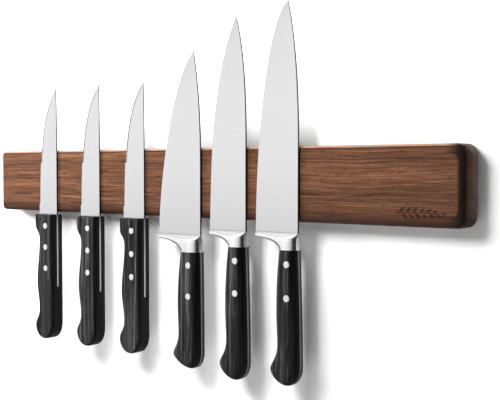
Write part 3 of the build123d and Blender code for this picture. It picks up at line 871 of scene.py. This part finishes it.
def bolster(size):
    """A bolster, as upright columns from the heel line to its rim. Half its thickness is the lesser of
    two slopes: one grows from the heel's tip to the neck, the other swells out just below the blade. It
    falls away along an ellipse at the back, and its other rims are rounded by their distance to the
    outline."""
    rim = bolster_underside(size)
    height, width, neck = size["bolster"], size["blade_width"], size["neck"]
    across_neck = -neck * (1 - crowded(44)[1:])
    places = np.concatenate([rim[:, 0], across_neck])
    lowest = np.concatenate([rim[:, 1], np.full_like(across_neck, -height)])
    z = lowest[:, None] * crowded(40)[None, :]
    x = np.repeat(places[:, None], z.shape[1], axis=1)
    along = np.clip((x + width) / (width - neck), 0.0, 1.0)
    by_width = bolster_heel_half + (forged_grip_half - bolster_heel_half) * along ** 1.3
    fall = np.clip(-z / bolster_swell_height, 0.0, 1.0)
    by_height = bolster_top_half + (forged_grip_half - bolster_top_half) * (1 - (1 - fall) ** 2.2)
    core = np.minimum(soft_least(by_width, by_height, 1.2), forged_grip_half)
    heel_side = np.array([[-width, 1.0], [-width, rim[0, 1]]])
    to_rim, _ = nearest_on(chain(heel_side, rim), x, z)
    drop = bolster_back_share * core
    half = core - ease_off(-x, drop * bolster_spread, drop)
    half = half - round_off(to_rim, forged_edge_round / forged_grip_half * core)
    half = half - round_off(-z, bolster_top_round)
    half = np.maximum(half, 0.25)
    return skin(plate_rings(x, z, -half, half))


def forged_grip_rims(size):
    """A forged knife's grip from the front: its palm side and its back, each from the bolster to the
    lowest point."""
    length, neck, palm, waist = size["grip_length"], size["neck"], size["palm"], size["waist"]
    beak, swell = size["beak"], size["swell"]
    bottom = (-grip_butt_width, -length)
    palm_at, waist_at, beak_at, hip_at = 0.46 * length, 0.70 * length, 0.885 * length, 0.86 * length
    flare = 0.16 * palm_at / 3
    third = (waist_at - palm_at) / 3
    palm_point, waist_point, beak_point = (-palm, -palm_at), (-waist, -waist_at), (-beak, -beak_at)
    palm_side = chain(
        bezier((-neck, 0.0), (-neck - flare, -palm_at / 3), (-palm, -palm_at * 2 / 3), palm_point),
        bezier(palm_point, (-palm, -palm_at - third), (-waist, -waist_at + third), waist_point),
        bezier(waist_point, (-waist, -0.80 * length), (-beak, -0.835 * length), beak_point),
        bezier(beak_point, (-beak, -0.93 * length), (-grip_butt_width - 8.0, -length), bottom))
    back = chain(
        bezier((0.0, 0.0), (0.35 * swell, -0.2 * length), (swell, -0.6 * length), (swell, -hip_at)),
        bezier((swell, -hip_at), (swell, -0.945 * length), (-grip_butt_width + 5.5, -length), bottom))
    return palm_side, back


def grip_grid(palm_side, back, rows, columns):
    """A grid over a grip: level rows from the palm side to the back, crowded at the rims and at the
    butt."""
    share = crowded(columns)[None, :]
    left = across_at(palm_side, rows)[:, None]
    right = across_at(back, rows)[:, None]
    x = left + (right - left) * share
    return x, np.repeat(rows[:, None], columns, axis=1)


def rim_rounding(palm_side, back, x, z, edge_round, spine_round):
    """How far the rounded rims lie below the face. The radius goes over from the palm side's to the
    back's with the direction that the nearest rim faces."""
    outline = chain(palm_side, back[::-1])
    distance, nearest = nearest_on(outline, x, z)
    run = np.diff(outline, axis=0)
    facing = -run[:, 1] / np.maximum(np.linalg.norm(run, axis=1), 1e-9)
    radius = (edge_round + spine_round) / 2 - facing * (spine_round - edge_round) / 2
    return round_off(distance, radius[nearest])


def forged_scale(size, side):
    """One grip scale: flat against the tang and rounded outside, in front for side -1, behind for side
    1."""
    palm_side, back = forged_grip_rims(size)
    x, z = grip_grid(palm_side, back, -size["grip_length"] * reach(96), forged_grip_columns)
    outer = forged_grip_half - rim_rounding(palm_side, back, x, z, forged_edge_round, forged_spine_round)
    outer = np.maximum(outer, tang_half + 0.25)
    inner = np.full_like(outer, tang_half + 0.02)
    return skin(plate_rings(x, z, side * outer, side * inner))


def forged_tang(size):
    """The tang: a flat plate of the grip's own outline, with its corners just broken."""
    palm_side, back = forged_grip_rims(size)
    x, z = grip_grid(palm_side, back, -size["grip_length"] * reach(96), forged_grip_columns)
    to_rim, _ = nearest_on(chain(palm_side, back[::-1]), x, z)
    half = tang_half - round_off(to_rim, seam_round)
    return skin(plate_rings(x, z, -half, half))


# ---- Steak knives
def steak_edge():
    """A steak blade's edge from the grip to the point: a small step above the heel, then a long curve
    with a row of round bites, each as deep as a circle through its two teeth. It comes bitten and
    whole, with each point's bite."""
    length = steak_blade_length
    curve = bezier((-steak_blade_width, steak_heel_height), (-steak_blade_width * 0.98, length * 0.58),
                   (-steak_blade_width * 0.78, length * 0.84), (-steak_tip_drop, length), count=560)
    run = np.gradient(curve, axis=0)
    run /= np.linalg.norm(run, axis=1)[:, None]
    inward = np.stack([run[:, 1], -run[:, 0]], axis=1)
    along = np.concatenate([[0.0], np.cumsum(np.linalg.norm(np.diff(curve, axis=0), axis=1))])
    count = np.clip(np.round((along - scallop_start) / scallop_pitch), 0, scallop_count - 1)
    off_centre = along - scallop_start - count * scallop_pitch
    radius = (scallop_pitch / 2) ** 2 / (2 * scallop_depth) + scallop_depth / 2
    bite = np.sqrt(np.maximum(radius ** 2 - off_centre ** 2, 0.0)) - (radius - scallop_depth)
    bite = np.maximum(bite, 0.0)
    bitten = curve + inward * bite[:, None]
    heel = -steak_blade_width - steak_heel_step
    step = [(heel, 0.0), (heel, 3.0), (heel, 6.5), (heel, 9.0), (heel + 0.15, 9.8), (heel + 0.75, 11.0)]
    return chain(step, bitten), chain(step, curve), np.concatenate([np.zeros(len(step) - 1), bite])


def steak_blade():
    """A stamped blade: an even taper from the back to a bevel, which runs in at each bite as if a small
    wheel had ground it."""
    length = steak_blade_length
    edge, whole_edge, bite = steak_edge()
    spine = chain([(0.0, 0.0), (0.0, 10.0)], bezier((0.0, 10.0), (0.0, length * 0.8),
                  (-steak_tip_drop * 0.1, length * 0.9), (-steak_tip_drop, length), count=80))
    z = edge[:, 1]
    left = edge[:, 0]
    right = across_at(spine, z)
    width = np.maximum(right - left, 0.02)
    share, on_bevel = blade_columns(width, np.full_like(width, steak_bevel), steak_back_round, 9)
    x = left[:, None] + width[:, None] * share
    whole_left = across_at(whole_edge, z)
    whole_width = np.maximum(right - whole_left, 0.02)
    whole_share = np.clip((x - whole_left[:, None]) / whole_width[:, None], 0.0, 1.0)
    rise = np.clip(z / length, 0.0, 1.0)[:, None]
    core = steak_edge_half + (steak_blade_half - steak_edge_half) * whole_share * (1 - 0.35 * rise ** 1.5)
    half = sharp_half + (core - sharp_half) * np.clip(share / on_bevel, 0.0, 1.0)
    half = half - ease_off(right[:, None] - x, steak_back_round, np.minimum(steak_back_drop, core * 0.4))
    half = np.maximum(half, 0.02)
    z = np.repeat(z[:, None], x.shape[1], axis=1)
    return part_blade(skin(plate_rings(x, z, -half, half)), x.shape[1], bite > 0.55 * scallop_depth)


def steak_tang():
    """The short tang: a plate with one large round corner, its rims just broken."""
    round_corner = steak_tang_width / 2
    rows = np.concatenate([np.linspace(0.0, -steak_tang_length + round_corner, 12),
                           -steak_tang_length + round_corner - round_corner * reach(14)[1:]])
    below = np.clip(-steak_tang_length + round_corner - rows, 0.0, round_corner)
    left = -steak_tang_width + round_corner - np.sqrt(round_corner ** 2 - below ** 2)
    share = crowded(12)[None, :]
    x = left[:, None] * (1 - share)
    z = np.repeat(rows[:, None], x.shape[1], axis=1)
    half = steak_blade_half - round_off(-x, seam_round)
    return skin(plate_rings(x, z, -half, half))


def steak_grip_rims():
    """A steak grip from the front: its finger side and its straight back, each from the top to the lowest
    point."""
    length, front, neck = steak_grip_length, steak_front_width, steak_neck_width
    palm, waist, beak = steak_palm_width, steak_waist_width, steak_beak_width
    bottom = (-beak * 0.52, -length)
    throat_at, neck_at, palm_at, waist_at = 0.085 * length, 0.205 * length, 0.54 * length, 0.755 * length
    beak_at = 0.895 * length
    third = (palm_at - neck_at) / 3
    lower_third = (waist_at - palm_at) / 3
    throat_point, neck_point, palm_point = (-front, -throat_at), (-neck, -neck_at), (-palm, -palm_at)
    waist_point, beak_point = (-waist, -waist_at), (-beak, -beak_at)
    finger_side = chain(
        [(-front, 0.0), throat_point],
        bezier(throat_point, (-front, -0.14 * length), (-neck, -0.13 * length), neck_point),
        bezier(neck_point, (-neck, -neck_at - third), (-palm, -palm_at + third), palm_point),
        bezier(palm_point, (-palm, -palm_at - lower_third), (-waist, -waist_at + lower_third), waist_point),
        bezier(waist_point, (-waist, -0.83 * length), (-beak, -0.845 * length), beak_point),
        bezier(beak_point, (-beak, -0.945 * length), (-beak * 0.82, -length), bottom))
    corner = (0.0, -length + steak_butt_radius)
    lower = (0.0, -length + 0.40 * steak_butt_radius)
    back = chain([(0.0, 0.0), corner], bezier(corner, lower, (bottom[0] * 0.40, -length), bottom))
    return finger_side, back


def steak_grip():
    """A one-piece grip, rounded all round, with a slot let into its back for the tang: every ring runs
    in and out of the slot, which has no depth below the tang's end."""
    finger_side, back = steak_grip_rims()
    slot_end = -steak_tang_length - steak_slot_clearance
    top = -steak_top_round * (1 - np.cos(np.linspace(0.0, math.pi / 2, 7)))
    lower = slot_end + (-steak_grip_length - slot_end) * reach(70)
    rows = np.concatenate([top, np.linspace(top[-1], slot_end, 44)[1:], lower])
    x, z = grip_grid(finger_side, back, rows, steak_grip_columns)
    half = steak_grip_half - rim_rounding(finger_side, back, x, z, steak_edge_round, steak_spine_round)
    half = half - round_off(-z, steak_top_round)
    half = np.maximum(half, steak_slot_half + 0.3)
    rings = plate_rings(x, z, -half, half)
    depth = np.where(np.arange(len(rows)) < len(rows) - len(lower), steak_slot_depth, 0.0)
    mouth = x[:, -1]
    lip = np.full_like(mouth, steak_slot_half)
    notch = np.stack([
        np.stack([mouth, -lip, rows], axis=1), np.stack([mouth - depth, -lip, rows], axis=1),
        np.stack([mouth - depth, lip, rows], axis=1), np.stack([mouth, lip, rows], axis=1)], axis=1)
    near, far = rings[:, :steak_grip_columns], rings[:, steak_grip_columns:]
    return skin(np.concatenate([near, notch, far], axis=1))


# ---- Rivets
def rivet_head_profile():
    """A rivet head's radii and heights, from the middle of its low dome, over a fine groove, to its
    underside."""
    share = np.array([0.006, 0.16, 0.32, 0.42, 0.46, 0.50, 0.54, 0.68, 0.82, 0.92, 0.975, 1.0, 1.0])
    radii = rivet_head * share
    dome = rivet_proud * (1 - 0.20 * share ** 2)
    groove = 0.05 * np.exp(-((share - 0.47) / 0.035) ** 2)
    heights = dome - groove
    heights[-3:] = (rivet_proud * 0.50, rivet_proud * 0.25, -rivet_head_depth)
    return radii, heights


def rivet_stud(centre, grip_half):
    """The front half: a domed head on a pin that runs back to the other head."""
    radii, heights = rivet_head_profile()
    radii = np.concatenate([radii, [rivet_pin, rivet_pin, 0.02]])
    depths = np.concatenate([-grip_half - heights, [-grip_half + rivet_head_depth]])
    back = grip_half - rivet_head_depth - 0.05
    return lathe(radii, np.concatenate([depths, [back, back]]), centre)


def rivet_socket(centre, grip_half):
    """The back half: a domed head on a tube round the pin."""
    radii, heights = rivet_head_profile()
    inside = rivet_pin + 0.04
    radii = np.concatenate([radii, [rivet_tube, rivet_tube, inside, inside, 0.02]])
    start = grip_half - rivet_head_depth
    front = -grip_half + rivet_head_depth + 0.05
    depths = np.concatenate([grip_half + heights, [start, front, front, start, start]])
    return lathe(radii, depths, centre)


def rivet_seat(centre, grip_half, side):
    """The shape of the hole that one head sits in, with a narrow gap round it."""
    deep = side * (grip_half - rivet_head_depth - 0.2)
    proud = side * (grip_half + 1.0)
    radius = rivet_head + rivet_gap
    return lathe([0.0, radius, radius, 0.0], [deep, deep, proud, proud], centre)


def rivet_places(knife, origin):
    """Where a knife's rivets stand, from its packed studs, in millimetres from the knife's own point."""
    mesh = frame["nodes"][f"{knife}_rivet_studs"].data
    points = np.zeros(len(mesh.vertices) * 3, np.float32)
    mesh.vertices.foreach_get("co", points)
    heights = np.sort(points.reshape(-1, 3)[:, 2])
    groups = np.split(heights, np.where(np.diff(heights) > 0.004)[0] + 1)
    low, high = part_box(f"{knife}_rivet_studs")
    x = ((low.x + high.x) / 2 - origin[0]) / MM
    return [(x, ((group[0] + group[-1]) / 2 - origin[2]) / MM) for group in groups]


def add_rivets(knife, origin, centres, grip_half):
    """A knife's front and back rivet halves."""
    for node, make in (("rivet_studs", rivet_stud), ("rivet_sockets", rivet_socket)):
        skins = [make(centre, grip_half) for centre in centres]
        thing = piece(f"{knife}_{node}_bright", skins, origin, [finishes["rivet"]] * len(skins), 30.0)
        stand_for(thing, knife, "rivet_steel", f"{knife}_{node}")


def stand_for(thing, body, slot, *nodes):
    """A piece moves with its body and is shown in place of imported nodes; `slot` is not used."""
    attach(thing, body)
    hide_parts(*nodes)


# ---- Whole knives
def add_forged_knife(knife, size):
    """The forging, both scales and the rivets of one forged knife, placed by its packed blade's box."""
    low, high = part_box(f"{knife}_blade")
    spine_x = high.x - size["swell"] * MM
    middle = (low.y + high.y) / 2
    heel = high.z - size["blade_length"] * MM
    at_heel = (spine_x, middle, heel)
    at_grip = (spine_x, middle, heel - size["bolster"] * MM)
    lower = np.array([0.0, 0.0, -size["bolster"]])
    tang_points, tang_faces = forged_tang(size)
    skins = [*forged_blade(size), bolster(size), (tang_points + lower, tang_faces)]
    coats = [finishes[kind] for kind in ("blade", "back", "back", "bolster", "tang")]
    forging = piece(f"{knife}_forging", skins, at_heel, coats)
    stand_for(forging, knife, "blade_steel", f"{knife}_blade")
    centres = rivet_places(knife, at_grip)
    for node, side in (("front_scale", -1), ("back_scale", 1)):
        shape = forged_scale(size, side)
        # The back side's painted shade, read by the grip finish.
        shares = near_back(shape[0], 2 * forged_grip_columns, forged_painted_shade_spread)
        scale = piece(f"{knife}_{node}_shaped", [shape], at_grip, [finishes["grip"]], shares=shares)
        drill(scale, [rivet_seat(centre, forged_grip_half, side) for centre in centres], at_grip)
        stand_for(scale, knife, "black_wood", f"{knife}_{node}")
    add_rivets(knife, at_grip, centres, forged_grip_half)


def add_steak_knife(knife):
    """The blade, the grip and the rivets of one steak knife, placed by its packed blade's box."""
    low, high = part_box(f"{knife}_blade")
    middle = (low.y + high.y) / 2
    grip_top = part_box(f"{knife}_grip")[1].z
    origin = (high.x, middle, grip_top)
    coats = [finishes[kind] for kind in ("blade", "back", "painted_hollow_shade", "blade")]
    blade = piece(f"{knife}_stamping", [*steak_blade(), steak_tang()], origin, coats)
    stand_for(blade, knife, "blade_steel", f"{knife}_blade")
    centres = rivet_places(knife, origin)
    shape = steak_grip()
    # The back side's painted shade, read by the grip finish.
    shares = near_back(shape[0], 2 * steak_grip_columns + 4, steak_painted_shade_spread)
    grip = piece(f"{knife}_grip_shaped", [shape], origin, [finishes["grip"]], shares=shares)
    seats = [rivet_seat(centre, steak_grip_half, side) for centre in centres for side in (-1, 1)]
    drill(grip, seats, origin)
    stand_for(grip, knife, "black_wood", f"{knife}_grip")
    add_rivets(knife, origin, centres, steak_grip_half)


# ---- The room
def stage_sheet(name, corners, finish):
    """A flat sheet of the room, facing the way its corners turn."""
    mesh = bpy.data.meshes.new(name)
    mesh.from_pydata(corners, [], [list(range(len(corners)))])
    mesh.materials.append(finish)
    sheet = bpy.data.objects.new(name, mesh)
    bpy.context.scene.collection.objects.link(sheet)


def direction(azimuth, elevation):
    """The direction from the strip towards an azimuth, where 0 is straight out from the wall, and an
    elevation."""
    turn = math.radians(azimuth)
    rise = math.radians(elevation)
    return Vector((math.sin(turn) * math.cos(rise), -math.cos(turn) * math.cos(rise), math.sin(rise)))


def add_lamp(name, place, aim, size, power, mirrored=False):
    """A square soft lamp, aimed at a point. Steel mirrors it only if it is meant to be seen there."""
    lamp = bpy.data.lights.new(name, "AREA")
    lamp.shape = "SQUARE"
    lamp.size = size
    lamp.energy = power
    thing = bpy.data.objects.new(name, lamp)
    thing.location = place
    thing.rotation_euler = (aim - place).to_track_quat("-Z", "Y").to_euler()
    thing.visible_glossy = mirrored
    bpy.context.scene.collection.objects.link(thing)


def add_room():
    """A pale wall behind the strip and a pale floor below it."""
    paint = stage_paint("wall_paint", (0.86, 0.86, 0.86), 0.75)
    half, up = wall_size[0] / 2, wall_size[1] / 2
    floor = cad_box[0][2] - floor_drop
    foot = [(-half, wall_gap, floor), (half, wall_gap, floor)]
    stage_sheet("wall", foot + [(half, wall_gap, up), (-half, wall_gap, up)], paint)
    stage_sheet("floor", [(-half, -half, floor), (half, -half, floor)] + foot[::-1],
                stage_paint("floor_paint", (0.80, 0.80, 0.80), 0.0))


def add_room_light():
    """Light from all round: a bright soft panel to the left of the front, a paler ceiling, little light
    from the right, and near white wherever the room itself is seen."""
    world = bpy.data.worlds.new("studio_light")
    world.use_nodes = True
    bpy.context.scene.world = world
    tree = Tree(world.node_tree)
    x, y, z = tree.axes(tree.add("TexCoord", None, None, "Generated"))
    level = (x * x + y * y + 0.0001) ** 0.5
    sideways = x / level
    ahead = (0.0 - y) / level
    turn = math.radians(panel_azimuth)
    towards_panel = ahead * math.cos(turn) - sideways * math.sin(turn)
    panel = towards_panel.step(0.22, 0.93) * z.step(-0.24, -0.03)
    bright = (sideways.step(-0.60, -0.50) * sideways.step(-0.10, -0.30)) * ahead.step(0.0, 0.5)
    behind = ahead.step(-0.05, -0.35)
    ceiling = z.step(0.45, 0.75)
    dimmer = z.step(0.07, 0.20) * z.step(0.55, 0.35)
    panel_strength = 1.13 - ceiling * 0.15 + bright * 0.16 - dimmer * 0.34
    strength = 0.035 + panel * panel_strength + behind * 0.20 + ceiling * 0.25
    mirrored = tree.add("LightPath", None, None, "Is Glossy Ray")
    softened = strength * (0.27 + mirrored * 0.73)
    seen = tree.add("LightPath", None, None, "Is Camera Ray")
    shown = softened + seen * (0.92 - softened)
    light = tree.add("Background", None, {"Color": (1.0, 1.0, 1.0, 1.0), "Strength": shown})
    tree.add("OutputWorld", None, {"Surface": light})


def add_camera():
    """The camera: out along its azimuth and elevation from the aim, and turned back to it."""
    lens = bpy.data.cameras.new("camera")
    lens.lens = camera_lens
    lens.sensor_width = camera_sensor
    thing = bpy.data.objects.new("camera", lens)
    thing.location = camera_aim + direction(camera_azimuth, camera_elevation) * camera_distance
    thing.rotation_euler = (camera_aim - thing.location).to_track_quat("-Z", "Y").to_euler()
    bpy.context.scene.collection.objects.link(thing)
    bpy.context.scene.camera = thing


# ---- Everything
finishes = {
    "wood": walnut(),
    "blade": ground_steel(),
    "back": back_steel(),
    # Linished, and darker still as painted shade: the tang's steel.
    "tang": dull_and_shaded_steel("steel_tang_linished_painted_shade", (0.15, 0.15, 0.155), (0.26, 0.26, 0.265),
                       (3000.0, 3000.0, 40.0)),
    # Painted shade: the teeth's hollows are dark steel.
    "painted_hollow_shade": dull_and_shaded_steel("steel_teeth_painted_shade", (0.10, 0.10, 0.103), (0.22, 0.22, 0.225),
                         (3000.0, 600.0, 600.0)),
    "bolster": polished_steel(),
    "rivet": rivet_steel(),
    "grip": black_wood(),
    "screw": zinc_plate("screw_zinc", (0.66, 0.65, 0.60)),
    "plate": zinc_plate("zinc_sheet", (0.58, 0.59, 0.61)),
    "magnet": magnet_plate(),
    "pad": pad_foam(),
    "cover": cover_board(),
}
packed_finishes = {
    "magnets": "magnet", "keeper_plate": "plate", "pressure_pad": "pad", "back_cover": "cover",
    "cover_screws": "screw", "hanger_plate_left": "plate", "hanger_plate_right": "plate",
    "hanger_screws_left": "screw", "hanger_screws_right": "screw",
}
for node, kind in packed_finishes.items():
    packed = frame["nodes"][node].data
    packed.materials.clear()
    packed.materials.append(finishes[kind])

add_wood_bar()
for knife in steak_knives:
    add_steak_knife(knife)
for knife, size in forged_knives.items():
    add_forged_knife(knife, size)

add_room()
add_room_light()
add_lamp("key_lamp", Vector((-0.04, -0.45, 0.30)), Vector((0.03, 0.0, -0.03)), 0.26, 5.4)
add_lamp("left_lamp", Vector((-0.78, -0.36, 0.26)), Vector((0.0, 0.0, 0.0)), 0.26, 13.0)
add_lamp("back_lamp", Vector((0.2, 1.6, 0.25)), Vector((0.0, 0.0, 0.0)), 0.9, 12.0, True)
add_camera()
bpy.context.scene.view_settings.view_transform = "Standard"
